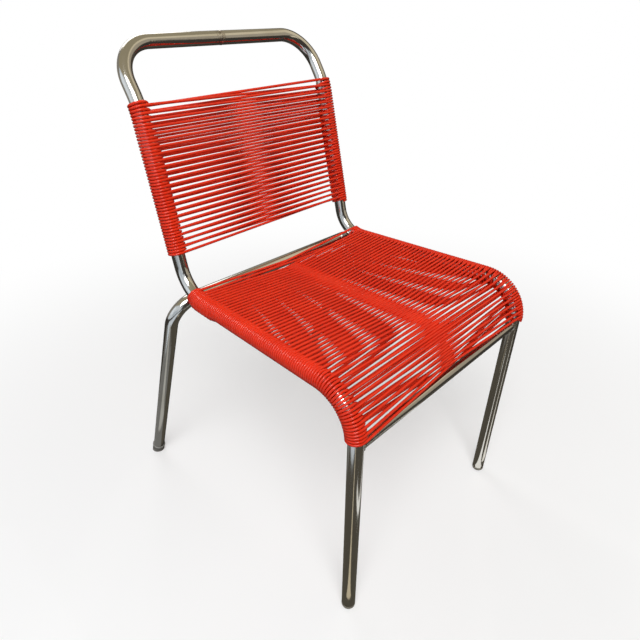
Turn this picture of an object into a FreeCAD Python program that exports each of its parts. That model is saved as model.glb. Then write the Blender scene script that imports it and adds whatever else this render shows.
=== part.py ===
"""Dining chair of bent steel tube with a seat and a back wound from plastic cord.

Millimetres. +Z is up, the chair faces -Y and stands on Z = 0. X = 0 is its plane of symmetry and
Y = 0 is half way between its foremost and rearmost points.
"""
import FreeCAD, Part
import math
import os
from FreeCAD import Placement, Rotation, Vector

SIZES = [
    ("tube_diameter", 22.0, "outside of every steel tube"),
    ("tube_wall", 1.5, "wall of every steel tube"),
    ("rail_height", 430.0, "axis of the seat rails above the floor"),
    ("front_width", 432.0, "between the tube axes at the front corners of the seat"),
    ("front_foot_width", 414.0, "between the tube axes at the front feet"),
    ("front_foot_setback", 8.0, "front feet behind the front corners"),
    ("rail_run", 387.0, "front corner to rear corner, from front to back"),
    ("back_width", 390.0, "between the axes of the uprights"),
    ("knee_rise", 286.0, "rear corner up to the knee of the upright"),
    ("knee_setback", 64.0, "rear corner back to the knee of the upright"),
    ("loop_rise", 79.5, "knee up to the axis of the top rail"),
    ("loop_setback", 51.0, "knee back to the axis of the top rail"),
    ("front_bend_radius", 65.0, "seat rail into front leg"),
    ("rear_bend_radius", 58.0, "seat rail into upright"),
    ("knee_bend_radius", 107.0, "upright into its leaning top"),
    ("top_bend_radius", 60.0, "upright into top rail"),
    ("seam_width", 4.0, "weld seam in the middle of the top rail"),
    ("seam_crown", 0.3, "weld seam proud of the tube"),
    ("spigot_length", 60.0, "rod inside the top rail"),
    ("fit_clearance", 0.05, "plugs, rod and sleeves against the tubes they fit"),
    ("rear_leg_width", 456.0, "between the axes of the rear legs"),
    ("rear_foot_setback", 158.5, "rear feet behind the rear corners"),
    ("rear_leg_bend_radius", 47.0, "rear leg into the bar under the seat"),
    ("bar_contact_angle", 32.0, "degrees of the rear bend, from the rail, where the bar touches"),
    ("bar_gap", 0.2, "between the bar and the rear bends, bridged by weld"),
    ("bar_weld_radius", 6.0, "weld between the bar and a rear bend"),
    ("crossbar_drop", 11.5, "axis of the front crossbar below the end of the front bends"),
    ("crossbar_diameter", 16.0, "outside of the front crossbar"),
    ("crossbar_weld", 2.5, "weld bead round each end of the front crossbar"),
    ("glide_head", 8.0, "plug below the end of a front leg"),
    ("glide_round", 4.0, "rounded lower edge of the plug"),
    ("glide_stem", 18.0, "plug inside a front leg"),
    ("ferrule_wall", 1.2, "sleeve on a rear leg"),
    ("ferrule_height", 20.0, "sleeve on a rear leg, from the floor along the leg"),
    ("ferrule_base", 7.0, "sleeve below the end of a rear leg"),
    ("cord_diameter", 4.0, "plastic cord"),
    ("cord_clearance", 0.2, "between the cord and what it passes"),
    ("cord_cover", 0.2, "crown of the wound turns over the cord's own thickness"),
    ("strand_bury", 1.0, "strand ends run on into the turns"),
    ("seat_turn_gap", 0.13, "between neighbouring turns on the seat rails"),
    ("back_turn_gap", 0.72, "between neighbouring turns on the uprights"),
    ("back_wrap_rise", 3.0, "top of the turns on the uprights above the knees"),
    ("back_wrap_length", 237.0, "wound length of the uprights"),
    ("floor_margin", 40.0, "what is cut off below the floor, and how far round"),
]

LEFT = -1
RIGHT = 1
SEAT_LOOPS_LEFT_OUT = (1,)
GAP_STEP = 1.0
ANGLE_STEP = 1e-4
TOLERANCE = 1e-5
EXTENT_STEPS = 400


class Straight:
    """Straight run of a tube's centre line."""

    radius = None

    def __init__(self, start, end):
        self.start = start
        self.length = (end - start).Length
        self.along = (end - start).normalize()

    def point(self, run):
        return self.start + self.along * run

    def tangent(self, run):
        return Vector(self.along)

    def edge(self, low, high):
        return Part.LineSegment(self.point(low), self.point(high)).toShape()


class Bend:
    """Circular bend of a tube's centre line, tangent to its neighbours."""

    def __init__(self, start, along, inward, radius, turn):
        self.centre = start + inward * radius
        self.arm = inward * -1
        self.along = along
        self.radius = radius
        self.length = radius * turn

    def point(self, run):
        angle = run / self.radius
        return self.centre + (self.arm * math.cos(angle) + self.along * math.sin(angle)) * self.radius

    def tangent(self, run):
        angle = run / self.radius
        return self.along * math.cos(angle) - self.arm * math.sin(angle)

    def edge(self, low, high):
        middle = self.point((low + high) / 2)
        return Part.Arc(self.point(low), middle, self.point(high)).toShape()


class Path:
    """Centre line of a bent tube: straight runs joined by tangent bends."""

    def __init__(self, corners, radii):
        self.pieces = []
        start = corners[0]
        for before, corner, after, radius in zip(corners, corners[1:], corners[2:], radii):
            arrive = (corner - before).normalize()
            leave = (after - corner).normalize()
            turn = arrive.getAngle(leave)
            cut = radius * math.tan(turn / 2)
            touch = corner - arrive * cut
            inward = (leave - arrive * leave.dot(arrive)).normalize()
            self.pieces.append(Straight(start, touch))
            self.pieces.append(Bend(touch, arrive, inward, radius, turn))
            start = corner + leave * cut
        self.pieces.append(Straight(start, corners[-1]))
        self.starts = [0.0]
        for piece in self.pieces:
            self.starts.append(self.starts[-1] + piece.length)
        self.length = self.starts[-1]

    def locate(self, run):
        """The piece that holds this length along the path, and the length within it."""
        for piece, start in zip(self.pieces, self.starts):
            if run <= start + piece.length:
                return piece, run - start
        return self.pieces[-1], run - self.starts[-2]

    def point(self, run):
        piece, rest = self.locate(run)
        return piece.point(rest)

    def tangent(self, run):
        piece, rest = self.locate(run)
        return piece.tangent(rest)

    def outward(self, run):
        """The side that a sitter touches: front of the back, top of the seat, front of the legs."""
        return self.tangent(run).cross(Vector(1, 0, 0)).normalize()

    def radius(self, run):
        return self.locate(run)[0].radius

    def at_height(self, height):
        """Length along the path, which only falls, where it passes a height."""
        low, high = 0.0, self.length
        while high - low > TOLERANCE:
            middle = (low + high) / 2
            if self.point(middle).z > height:
                low = middle
            else:
                high = middle
        return low

    def wire(self, low=0.0, high=None):
        high = self.length if high is None else high
        edges = []
        for piece, start in zip(self.pieces, self.starts):
            first = max(low - start, 0.0)
            last = min(high - start, piece.length)
            if last - first > TOLERANCE:
                edges.append(piece.edge(first, last))
        return Part.Wire(edges)

    def reach(self, direction, radius, high):
        """How far a tube of this radius, along the path up to a run, reaches in a direction."""
        runs = [high * step / EXTENT_STEPS for step in range(EXTENT_STEPS + 1)]
        return max(
            self.point(run).dot(direction)
            + radius * math.sqrt(max(0.0, 1 - self.tangent(run).dot(direction) ** 2))
            for run in runs
        )


doc = FreeCAD.newDocument("chair")
sizes = doc.addObject("Spreadsheet::Sheet", "sizes")
for row, (alias, value, note) in enumerate(SIZES, start=1):
    sizes.set(f"A{row}", alias)
    sizes.set(f"B{row}", str(value))
    sizes.set(f"C{row}", note)
    sizes.setAlias(f"B{row}", alias)
doc.recompute()


def size(alias):
    return float(sizes.get(alias))


def add(kind, label, **bound):
    """A document object whose properties are bound to expressions of the sheet's cells."""
    made = doc.addObject(kind, label)
    made.Label = label
    for name, expression in bound.items():
        made.setExpression(name, expression)
    return made


def cut(label, base, tool):
    made = add("Part::Cut", label)
    made.Base = base
    made.Tool = tool
    return made


def place(made, point, along):
    """Puts an object's own origin at a point and its Z axis along a direction."""
    made.Placement = Placement(point, Rotation(Vector(0, 0, 1), along))
    return made


def cylinder(label, point, along, radius, height):
    made = add("Part::Cylinder", label, Radius=radius, Height=height)
    return place(made, point, along)


# Overall layout

tube_radius = size("tube_diameter") / 2
cord_radius = size("cord_diameter") / 2
turn_radius = tube_radius + size("cord_clearance") + cord_radius
wrap_radius = turn_radius + cord_radius + size("cord_cover")


def front_foot(side, front):
    return Vector(side * size("front_foot_width") / 2, front + size("front_foot_setback"), 0)


def front_corner(side, front):
    return Vector(side * size("front_width") / 2, front, size("rail_height"))


def side_path(side, front):
    """Centre line of a side tube, from the seam in the top rail down to the front foot.

    front is the Y of the front corners.
    """
    rear = Vector(side * size("back_width") / 2, front + size("rail_run"), size("rail_height"))
    knee = rear + Vector(0, size("knee_setback"), size("knee_rise"))
    top = knee + Vector(0, size("loop_setback"), size("loop_rise"))
    seam = Vector(side * size("seam_width") / 2, top.y, top.z)
    corner = front_corner(side, front)
    foot = front_foot(side, front)
    end = foot + (corner - foot).normalize() * size("glide_head")
    radii = [size(name) for name in
             ("top_bend_radius", "knee_bend_radius", "rear_bend_radius", "front_bend_radius")]
    return Path([seam, top, knee, rear, corner, end], radii)


def bar_run(path):
    """Length along a side tube where the bar of the rear leg frame comes up to its rear bend."""
    rail_start = path.starts[6]
    return rail_start - size("rear_bend_radius") * math.radians(size("bar_contact_angle"))


def rear_foot(side, front):
    foot_y = front + size("rail_run") + size("rear_foot_setback")
    return Vector(side * size("rear_leg_width") / 2, foot_y, 0)


def rear_path(bar, front):
    """Centre line of the rear leg frame, given a point on the axis of its bar."""
    tops = {side: Vector(rear_foot(side, front).x, bar.y, bar.z) for side in (LEFT, RIGHT)}
    ends = {side: rear_foot(side, front) for side in (LEFT, RIGHT)}
    for side, foot in ends.items():
        ends[side] = foot + (tops[side] - foot).normalize() * size("ferrule_base")
    return Path([ends[LEFT], tops[LEFT], tops[RIGHT], ends[RIGHT]], [size("rear_leg_bend_radius")] * 2)


def bar_axis(path, front):
    """Point on the axis of the bar, moved up to the rear bends until only the weld's gap is left."""
    run = bar_run(path)
    away = path.outward(run) * -1
    side_line = path.wire()
    apart = size("tube_diameter") + size("bar_gap")
    near, far = apart / 2, apart * 2
    while far - near > TOLERANCE:
        middle = (near + far) / 2
        if side_line.distToShape(rear_path(path.point(run) + away * middle, front).wire())[0] < apart:
            near = middle
        else:
            far = middle
    return path.point(run) + away * far


def rear_reach(front):
    """Rearmost Y of the chair: the rim of a rear ferrule on the floor."""
    bar = bar_axis(side_path(LEFT, front), front)
    foot = rear_foot(LEFT, front)
    rake = math.atan2(foot.y - bar.y, bar.z)
    outside = tube_radius + size("fit_clearance") + size("ferrule_wall")
    return foot.y + outside / math.cos(rake)


def crossbar_height(path):
    front_bend_end = path.starts[8]
    return path.point(front_bend_end).z - size("crossbar_drop")


def seat_wrap_high(path):
    """Front end of the turns on a side tube: just above the weld of the front crossbar."""
    top = crossbar_height(path) + size("crossbar_diameter") / 2 + size("crossbar_weld")
    return path.at_height(top + size("cord_clearance"))


def front_reach(path):
    """How far the chair reaches forward: the turns on the front bends."""
    return path.reach(Vector(0, -1, 0), wrap_radius, seat_wrap_high(path))


front_overhang = front_reach(side_path(LEFT, 0.0))
rear_overhang = rear_reach(0.0)
depth = front_overhang + rear_overhang
front_y = front_overhang - depth / 2
paths = {side: side_path(side, front_y) for side in (LEFT, RIGHT)}
names = {LEFT: "left", RIGHT: "right"}


# Tubes

def bent_tube(label, path):
    """A tube along a path; returns the tube and the solid inside its outer surface."""
    spine = doc.addObject("Part::Feature", f"{label}_axis")
    spine.Shape = path.wire()
    edges = [f"Edge{number}" for number in range(1, len(spine.Shape.Edges) + 1)]
    swept = []
    for name, radius in (("outside", "sizes.tube_diameter / 2"),
                         ("bore", "sizes.tube_diameter / 2 - sizes.tube_wall")):
        section = add("Part::Circle", f"{label}_{name}_section", Radius=radius)
        place(section, path.point(0.0), path.tangent(0.0))
        sweep = add("Part::Sweep", f"{label}_{name}")
        sweep.Sections = [section]
        sweep.Spine = (spine, edges)
        sweep.Solid = True
        swept.append(sweep)
    return cut(label, swept[0], swept[1]), swept[0]


def mirrored(label, source):
    made = add("Part::Mirroring", label)
    made.Source = source
    made.Normal = Vector(1, 0, 0)
    return made


side_tubes = {}
side_solids = {}
side_tubes[LEFT], side_solids[LEFT] = bent_tube("left_side_tube", paths[LEFT])
side_tubes[RIGHT] = mirrored("right_side_tube", side_tubes[LEFT])
side_solids[RIGHT] = mirrored("right_side_tube_outside", side_solids[LEFT])

bar_point = bar_axis(paths[LEFT], front_y)
rear_line = rear_path(bar_point, front_y)
rear_feet = {side: rear_foot(side, front_y) for side in names}
rear_up = rear_line.tangent(0.0)
rear_frame, rear_solid = bent_tube("rear_leg_frame", rear_line)


# Seam and rod in the top rail

along_x = Vector(1, 0, 0)
seam_point = paths[LEFT].point(0.0)
seam_solid = cylinder("top_rail_seam_solid", seam_point, along_x,
                      "sizes.tube_diameter / 2 + sizes.seam_crown", "sizes.seam_width")
seam_bore = cylinder("top_rail_seam_bore", seam_point, along_x,
                     "sizes.tube_diameter / 2 - sizes.tube_wall", "sizes.seam_width")
seam = cut("top_rail_weld", seam_solid, seam_bore)
rod_start = Vector(-size("spigot_length") / 2, seam_point.y, seam_point.z)
rod = cylinder("top_rail_spigot", rod_start, along_x,
               "sizes.tube_diameter / 2 - sizes.tube_wall - sizes.fit_clearance", "sizes.spigot_length")


# Front crossbar and its welds

def leg_point(side, height):
    """Point on the axis of a front leg."""
    foot = front_foot(side, front_y)
    return foot + (front_corner(side, front_y) - foot) * (height / size("rail_height"))


bar_ends = {side: leg_point(side, crossbar_height(paths[side])) for side in names}
bar_span = str((bar_ends[RIGHT] - bar_ends[LEFT]).Length)
crossbar_solid = cylinder("front_crossbar_solid", bar_ends[LEFT], along_x,
                          "sizes.crossbar_diameter / 2", bar_span)
crossbar_bore = cylinder("front_crossbar_bore", bar_ends[LEFT], along_x,
                         "sizes.crossbar_diameter / 2 - sizes.tube_wall", bar_span)
crossbar_tube = cut("front_crossbar_tube", crossbar_solid, crossbar_bore)
crossbar_left_cope = cut("front_crossbar_left_cope", crossbar_tube, side_solids[LEFT])
crossbar = cut("front_crossbar", crossbar_left_cope, side_solids[RIGHT])

# A bead fills the corner within its width of both the leg and the bar.
crossbar_welds = []
for side, name in names.items():
    inward = along_x * -side
    leg_up = (front_corner(side, front_y) - front_foot(side, front_y)).normalize()
    leg_low = bar_ends[side] - leg_up * size("crossbar_diameter")
    near_leg = cylinder(f"{name}_crossbar_leg_zone", leg_low, leg_up,
                        "sizes.tube_diameter / 2 + sizes.crossbar_weld", "2 * sizes.crossbar_diameter")
    near_bar = cylinder(f"{name}_crossbar_bar_zone", bar_ends[side], inward,
                        "sizes.crossbar_diameter / 2 + sizes.crossbar_weld", "sizes.tube_diameter")
    zone = add("Part::Common", f"{name}_crossbar_weld_zone")
    zone.Base = near_leg
    zone.Tool = near_bar
    outside_leg = cut(f"{name}_crossbar_weld_outside_leg", zone, side_solids[side])
    crossbar_welds.append(cut(f"front_crossbar_{name}_weld", outside_leg, crossbar_solid))


# Welds between the rear leg frame and the rear bends

rear_welds = []
for side, name in names.items():
    distance, nearest, _ = paths[side].wire().distToShape(rear_line.wire())
    on_side, on_bar = next(pair for pair in nearest if pair[0].x * side > 0)
    blob = cylinder(f"{name}_rear_weld_zone", on_side, on_bar - on_side,
                    "sizes.bar_weld_radius", str(distance))
    outside_side = cut(f"{name}_rear_weld_outside_side", blob, side_solids[side])
    rear_welds.append(cut(f"{name}_rear_weld", outside_side, rear_solid))


# Feet

floor = add("Part::Box", "floor", Length="2 * (sizes.rear_leg_width / 2 + sizes.floor_margin)",
            Width=f"{depth} + 2 * sizes.floor_margin", Height="sizes.floor_margin")
floor_corner = Vector(size("rear_leg_width") / 2, depth / 2, 0) + Vector(1, 1, 1) * size("floor_margin")
floor.Placement = Placement(floor_corner * -1, Rotation())


def floor_edges(shape):
    """Numbers of the edges that lie on the floor."""
    return [number for number, edge in enumerate(shape.Edges, start=1) if edge.CenterOfMass.z < TOLERANCE]


feet = []
for side, name in names.items():
    foot = front_foot(side, front_y)
    leg_up = (front_corner(side, front_y) - foot).normalize()
    below = foot - leg_up * size("floor_margin") / 2
    head = cylinder(f"{name}_glide_head", below, leg_up, "sizes.tube_diameter / 2",
                    "sizes.floor_margin / 2 + sizes.glide_head")
    stem = cylinder(f"{name}_glide_stem", foot, leg_up,
                    "sizes.tube_diameter / 2 - sizes.tube_wall - sizes.fit_clearance",
                    "sizes.glide_head + sizes.glide_stem")
    plug = add("Part::Fuse", f"{name}_glide_plug")
    plug.Base = head
    plug.Tool = stem
    standing = cut(f"{name}_glide_standing", plug, floor)
    doc.recompute()
    glide = add("Part::Fillet", f"front_{name}_glide")
    glide.Base = standing
    glide.Edges = [(number, size("glide_round"), size("glide_round"))
                   for number in floor_edges(standing.Shape)]
    feet.append(glide)

for side, name in names.items():
    below = rear_feet[side] - rear_up * size("floor_margin") / 2
    sleeve = cylinder(f"{name}_ferrule_outside", below, rear_up,
                      "sizes.tube_diameter / 2 + sizes.fit_clearance + sizes.ferrule_wall",
                      "sizes.floor_margin / 2 + sizes.ferrule_height")
    socket = cylinder(f"{name}_ferrule_socket", rear_feet[side] + rear_up * size("ferrule_base"), rear_up,
                      "sizes.tube_diameter / 2 + sizes.fit_clearance", "sizes.ferrule_height")
    cup = cut(f"{name}_ferrule_cup", sleeve, socket)
    feet.append(cut(f"rear_{name}_ferrule", cup, floor))


# Cords

# A cord goes in a figure eight. On each visit to a tube it comes in on the side turned away from
# the sitter and makes one and a half turns: square to the tube past its outer side, one pitch
# onward past its inner side, and past its outer side again. It leaves on the sitter's side.

def cross_angle(run):
    """Angle at which strands that leave two tubes tangentially cross from front to back."""
    return math.asin(turn_radius / abs(paths[LEFT].point(run).x))


def turn_angles(visit):
    """Angles of a visit at its ends and after each half turn; zero is away from the sitter."""
    _, arrive, leave = visit
    return [-cross_angle(arrive), math.pi, 2 * math.pi, 3 * math.pi + cross_angle(leave)]


def turn_at(visit, angle):
    """Point of the cord's centre line at an angle round the tube."""
    side, arrive, leave = visit
    share = min(max(angle / math.pi - 1, 0), 1)
    run = arrive + (leave - arrive) * share ** 2 * (3 - 2 * share)
    path = paths[side]
    outward = path.outward(run)
    outboard = outward.cross(path.tangent(run)) * side
    return path.point(run) + (outboard * math.sin(angle) - outward * math.cos(angle)) * turn_radius


def turn_along(visit, angle):
    return (turn_at(visit, angle + ANGLE_STEP) - turn_at(visit, angle - ANGLE_STEP)).normalize()


def first_point(visit):
    return turn_at(visit, turn_angles(visit)[0])


def last_point(visit):
    return turn_at(visit, turn_angles(visit)[-1])


def arc(start, corner, end):
    """Arc that touches the lines from its two ends to a corner."""
    middle = (start + end) / 2
    half_chord = (end - start).Length / 2
    rise = corner - middle
    quarter = math.atan2(rise.Length, half_chord) / 2
    return Part.Arc(start, middle + rise.normalize() * half_chord * math.tan(quarter), end).toShape()


def biarc(start, start_along, end, end_along):
    """Two arcs, tangent to each other, between two points with given directions."""
    step = end - start
    both = start_along + end_along
    spread = 2 * (1 - start_along.dot(end_along))
    reach = (math.sqrt(step.dot(both) ** 2 + spread * step.dot(step)) - step.dot(both)) / spread
    first = start + start_along * reach
    second = end - end_along * reach
    joint = (first + second) / 2
    return [arc(start, first, joint), arc(joint, second, end)]


def local_pitch(run, pitch):
    """Pitch along the axis of turns that keep their pitch on the inside of a bend."""
    radius = paths[LEFT].radius(run)
    return pitch if radius is None else pitch * radius / (radius - turn_radius)


def visits_between(low, high, pitch_at):
    """The visits of a cord, left and right in turn, as side, run where it arrives, run where it leaves.

    pitch_at gives the pitch along the axis at a run.
    """
    visits = []
    side = LEFT
    run = low + cord_radius
    turn = pitch_at(run)
    while run + turn + cord_radius <= high:
        visits.append((side, run, run + turn))
        side = -side
        run += turn
        turn = pitch_at(run)
    return visits


def strand_along(visit, following):
    return (first_point(following) - last_point(visit)).normalize()


def unbroken_route(visits):
    """Centre line of the whole cord, as a wire of arcs and straight strands."""
    edges = []
    for number, visit in enumerate(visits):
        angles = turn_angles(visit)
        points = [turn_at(visit, angle) for angle in angles]
        alongs = [turn_along(visit, angle) for angle in angles]
        if number > 0:
            before = visits[number - 1]
            alongs[0] = strand_along(before, visit)
            edges.append(Part.LineSegment(last_point(before), points[0]).toShape())
        if number + 1 < len(visits):
            alongs[-1] = strand_along(visit, visits[number + 1])
        for start, along, end, end_along in zip(points, alongs, points[1:], alongs[1:]):
            edges += biarc(start, along, end, end_along)
    return Part.Wire(edges)


def least_gap(route):
    """Least gap between parts of a cord that are more than half a turn apart along it."""
    points = route.discretize(Distance=GAP_STEP)
    cell = 2 * size("cord_diameter")
    cells = {}
    for number, point in enumerate(points):
        key = tuple(math.floor(value / cell) for value in point)
        cells.setdefault(key, []).append(number)
    apart = math.pi * turn_radius / GAP_STEP
    steps = [(x, y, z) for x in (-1, 0, 1) for y in (-1, 0, 1) for z in (-1, 0, 1)]
    least = cell
    for key, numbers in cells.items():
        around = [other for step in steps
                  for other in cells.get(tuple(a + b for a, b in zip(key, step)), [])]
        for number in numbers:
            for other in around:
                if other - number > apart:
                    least = min(least, points[number].distanceToPoint(points[other]))
    return least - size("cord_diameter")


def feature(label, shape):
    made = doc.addObject("Part::Feature", label)
    made.Label = label
    made.Shape = shape
    return made


def pipe(spine, start, along, radius):
    ring = Part.Wire([Part.Circle(start, along, radius).toShape()])
    return spine.makePipeShell([ring], True, False)


def unbroken_cord(label, low, high, gap):
    """A cord as one unbroken tube."""
    visits = visits_between(low, high, lambda run: local_pitch(run, size("cord_diameter") + gap))
    route = unbroken_route(visits)
    print(f"{label}: {len(visits) // 2} loops, least gap to itself {least_gap(route):.2f} mm")
    return feature(label, pipe(route, first_point(visits[0]), turn_along(visits[0], 0), cord_radius))


def wound_sleeve(path, low, high):
    """The turns round a tube, as one sleeve of their outer shape.

    Its bore takes half the cord's clearance, so that strands end within its wall.
    """
    spine = path.wire(low, high)
    start, along = path.point(low), path.tangent(low)
    outside = pipe(spine, start, along, wrap_radius)
    return outside.cut(pipe(spine, start, along, tube_radius + size("cord_clearance") / 2))


def sleeved_cord(label, low, high, gap, loops_left_out):
    """A cord of more loops: every strand, and the turns round each tube as a sleeve."""
    visits = visits_between(low, high, lambda run: size("cord_diameter") + gap)
    strands = []
    for number, (visit, following) in enumerate(zip(visits, visits[1:])):
        if number // 2 not in loops_left_out:
            bury = strand_along(visit, following) * size("strand_bury")
            start = last_point(visit) - bury
            span = first_point(following) + bury - start
            strands.append(Part.makeCylinder(cord_radius, span.Length, start, span))
    sleeves = [wound_sleeve(path, low, high) for path in paths.values()]
    print(f"{label}: {len(strands)} strands")
    return feature(label, sleeves[0].multiFuse(sleeves[1:] + strands))


def seat_wrap_low(path):
    """Rear end of the turns on a rail: clear of the bar on the outside of the rear bend."""
    bar_line = rear_line.wire()
    apart = tube_radius + 2 * size("cord_clearance")
    low, high = bar_run(path), path.starts[7]
    while high - low > TOLERANCE:
        middle = (low + high) / 2
        rim = Part.Circle(path.point(middle), path.tangent(middle), wrap_radius).toShape()
        if rim.distToShape(bar_line)[0] < apart:
            low = middle
        else:
            high = middle
    return high


wound_path = paths[LEFT]
back_wrap_low = wound_path.at_height(size("rail_height") + size("knee_rise") + size("back_wrap_rise"))
back_cord = unbroken_cord("back_cord", back_wrap_low, back_wrap_low + size("back_wrap_length"),
                          size("back_turn_gap"))
seat_cord = sleeved_cord("seat_cord", seat_wrap_low(wound_path), seat_wrap_high(wound_path),
                         size("seat_turn_gap"), SEAT_LOOPS_LEFT_OUT)

doc.recompute()
for made in doc.Objects:
    if "Invalid" in made.State or "Error" in made.State:
        raise RuntimeError(f"{made.Label} failed: {made.State}")

nodes = [*side_tubes.values(), rod, seam, rear_frame, *rear_welds, crossbar, *crossbar_welds, *feet,
         seat_cord, back_cord]
os.makedirs("parts", exist_ok=True)
for node in nodes:
    if node.Shape.isNull() or not node.Shape.isValid():
        raise RuntimeError(f"{node.Label} has no valid shape")
for node in nodes:
    box = node.Shape.BoundBox
    print(f"{node.Label}: {len(node.Shape.Solids)} solid, {node.Shape.Volume:.0f} mm3,"
          f" Y {box.YMin:.2f} to {box.YMax:.2f}, Z {box.ZMin:.2f} to {box.ZMax:.2f}")
    node.Shape.exportStep(f"parts/{node.Label}.step")
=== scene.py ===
"""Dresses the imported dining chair: chromed tube frame, wound cord seat and back, welds and feet."""
import logging
import math
import random
from dataclasses import dataclass
from enum import Enum
from typing import NamedTuple

import bmesh
import bpy
from mathutils import Matrix, Vector


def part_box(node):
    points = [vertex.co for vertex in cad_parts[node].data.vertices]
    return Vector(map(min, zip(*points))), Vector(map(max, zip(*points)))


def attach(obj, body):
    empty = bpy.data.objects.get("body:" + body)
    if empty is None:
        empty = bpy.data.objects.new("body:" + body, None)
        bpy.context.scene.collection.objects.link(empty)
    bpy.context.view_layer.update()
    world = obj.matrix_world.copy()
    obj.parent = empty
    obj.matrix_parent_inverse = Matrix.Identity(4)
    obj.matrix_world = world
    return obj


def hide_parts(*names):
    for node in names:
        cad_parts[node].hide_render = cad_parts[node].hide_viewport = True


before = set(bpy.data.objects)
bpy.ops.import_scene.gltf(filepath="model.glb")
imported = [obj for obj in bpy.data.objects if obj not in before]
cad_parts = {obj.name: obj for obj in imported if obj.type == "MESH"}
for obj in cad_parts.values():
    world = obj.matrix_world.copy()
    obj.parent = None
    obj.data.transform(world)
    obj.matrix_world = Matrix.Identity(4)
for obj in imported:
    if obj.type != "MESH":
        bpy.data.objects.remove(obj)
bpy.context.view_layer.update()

LOG = logging.getLogger("chair")
ACROSS = Vector((1, 0, 0))
BODY = "root"
NURBS_ORDER = 4
RAMP_PER_METRE = 100


class Side(Enum):
    """Side of the chair as its X sign."""

    LEFT = -1
    RIGHT = 1

    @property
    def word(self) -> str:
        """Name of the side as it stands in the nodes' names."""
        return self.name.lower()

    @property
    def other(self) -> "Side":
        """The opposite side."""
        return Side(-self.value)


@dataclass(frozen=True)
class FrameSizes:
    """Sizes of the tube frame in metres, as in the solids."""

    tube_radius: float = 0.011
    tube_wall: float = 0.0015
    rail_height: float = 0.430
    front_width: float = 0.432
    front_foot_width: float = 0.414
    front_foot_setback: float = 0.008
    rail_run: float = 0.387
    back_width: float = 0.390
    knee_rise: float = 0.286
    knee_setback: float = 0.064
    loop_rise: float = 0.0795
    loop_setback: float = 0.051
    front_bend: float = 0.065
    rear_bend: float = 0.058
    knee_bend: float = 0.107
    top_bend: float = 0.060
    seam_width: float = 0.004
    rear_leg_width: float = 0.456
    rear_foot_setback: float = 0.1585
    rear_leg_bend: float = 0.047
    bar_contact: float = math.radians(32)
    glide_head: float = 0.008
    ferrule_base: float = 0.007
    ferrule_height: float = 0.020
    ferrule_wall: float = 0.0012
    crossbar_radius: float = 0.008


def middle_of(node: str) -> Vector:
    """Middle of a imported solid's box."""
    low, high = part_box(node)
    return (Vector(low) + Vector(high)) / 2


class Straight:
    """Straight run of a centre line."""

    def __init__(self, start: Vector, end: Vector) -> None:
        """Runs between two points.

        Args:
            start: Where the run begins.
            end: Where it ends.
        """
        self.start = start
        self.length = (end - start).length
        self.along = (end - start).normalized()

    def point(self, run: float) -> Vector:
        """Point at a length from the start."""
        return self.start + self.along * run

    def tangent(self, run: float) -> Vector:
        """Direction at a length from the start."""
        return self.along.copy()


class Bend:
    """Circular bend of a centre line."""

    def __init__(self, start: Vector, along: Vector, inward: Vector, radius: float, turn: float) -> None:
        """Leaves start along a direction and turns inward.

        Args:
            start: Where the bend begins.
            along: Unit direction there.
            inward: Unit direction to the bend's centre.
            radius: Radius of the centre line.
            turn: Angle of the bend.
        """
        self.centre = start + inward * radius
        self.arm = -inward
        self.along = along
        self.radius = radius
        self.turn = turn
        self.length = radius * turn

    def point(self, run: float) -> Vector:
        """Point at a length from the start."""
        angle = run / self.radius
        return self.centre + (self.arm * math.cos(angle) + self.along * math.sin(angle)) * self.radius

    def tangent(self, run: float) -> Vector:
        """Direction at a length from the start."""
        angle = run / self.radius
        return self.along * math.cos(angle) - self.arm * math.sin(angle)


class CentreLine:
    """Centre line of a bent tube: straight runs joined by tangent bends."""

    HALVINGS = 40

    def __init__(self, corners: list[Vector], radii: list[float]) -> None:
        """Rounds the corners of a line.

        Args:
            corners: The line's points, its two ends included.
            radii: Bend radius at each point between the ends.
        """
        self.pieces: list[Straight | Bend] = []
        start = corners[0]
        for before, corner, after, radius in zip(corners, corners[1:], corners[2:], radii):
            arrive = (corner - before).normalized()
            leave = (after - corner).normalized()
            turn = arrive.angle(leave)
            cut = radius * math.tan(turn / 2)
            inward = (leave - arrive * leave.dot(arrive)).normalized()
            self.pieces.append(Straight(start, corner - arrive * cut))
            self.pieces.append(Bend(corner - arrive * cut, arrive, inward, radius, turn))
            start = corner + leave * cut
        self.pieces.append(Straight(start, corners[-1]))
        self.starts = [sum(piece.length for piece in self.pieces[:count])
                       for count in range(len(self.pieces) + 1)]
        self.length = self.starts[-1]

    def locate(self, run: float) -> tuple[Straight | Bend, float]:
        """Finds a place along the line.

        Args:
            run: Length from the line's start.

        Returns:
            The piece that holds the place, and the length within that piece.
        """
        for piece, start in zip(self.pieces, self.starts):
            if run <= start + piece.length:
                return piece, run - start
        return self.pieces[-1], run - self.starts[-2]

    def point(self, run: float) -> Vector:
        """Point at a length along the line."""
        piece, rest = self.locate(run)
        return piece.point(rest)

    def tangent(self, run: float) -> Vector:
        """Direction at a length along the line."""
        piece, rest = self.locate(run)
        return piece.tangent(rest)

    def sitter_side(self, run: float) -> Vector:
        """Unit vector to the front of the back, the top of the seat and the front of the legs."""
        return self.tangent(run).cross(ACROSS).normalized()

    def at_height(self, height: float) -> float:
        """Finds where the line, which only falls, passes a height.

        Args:
            height: Height above the floor.

        Returns:
            The length along the line.
        """
        low, high = 0.0, self.length
        for _ in range(self.HALVINGS):
            middle = (low + high) / 2
            if self.point(middle).z > height:
                low = middle
            else:
                high = middle
        return low


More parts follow.
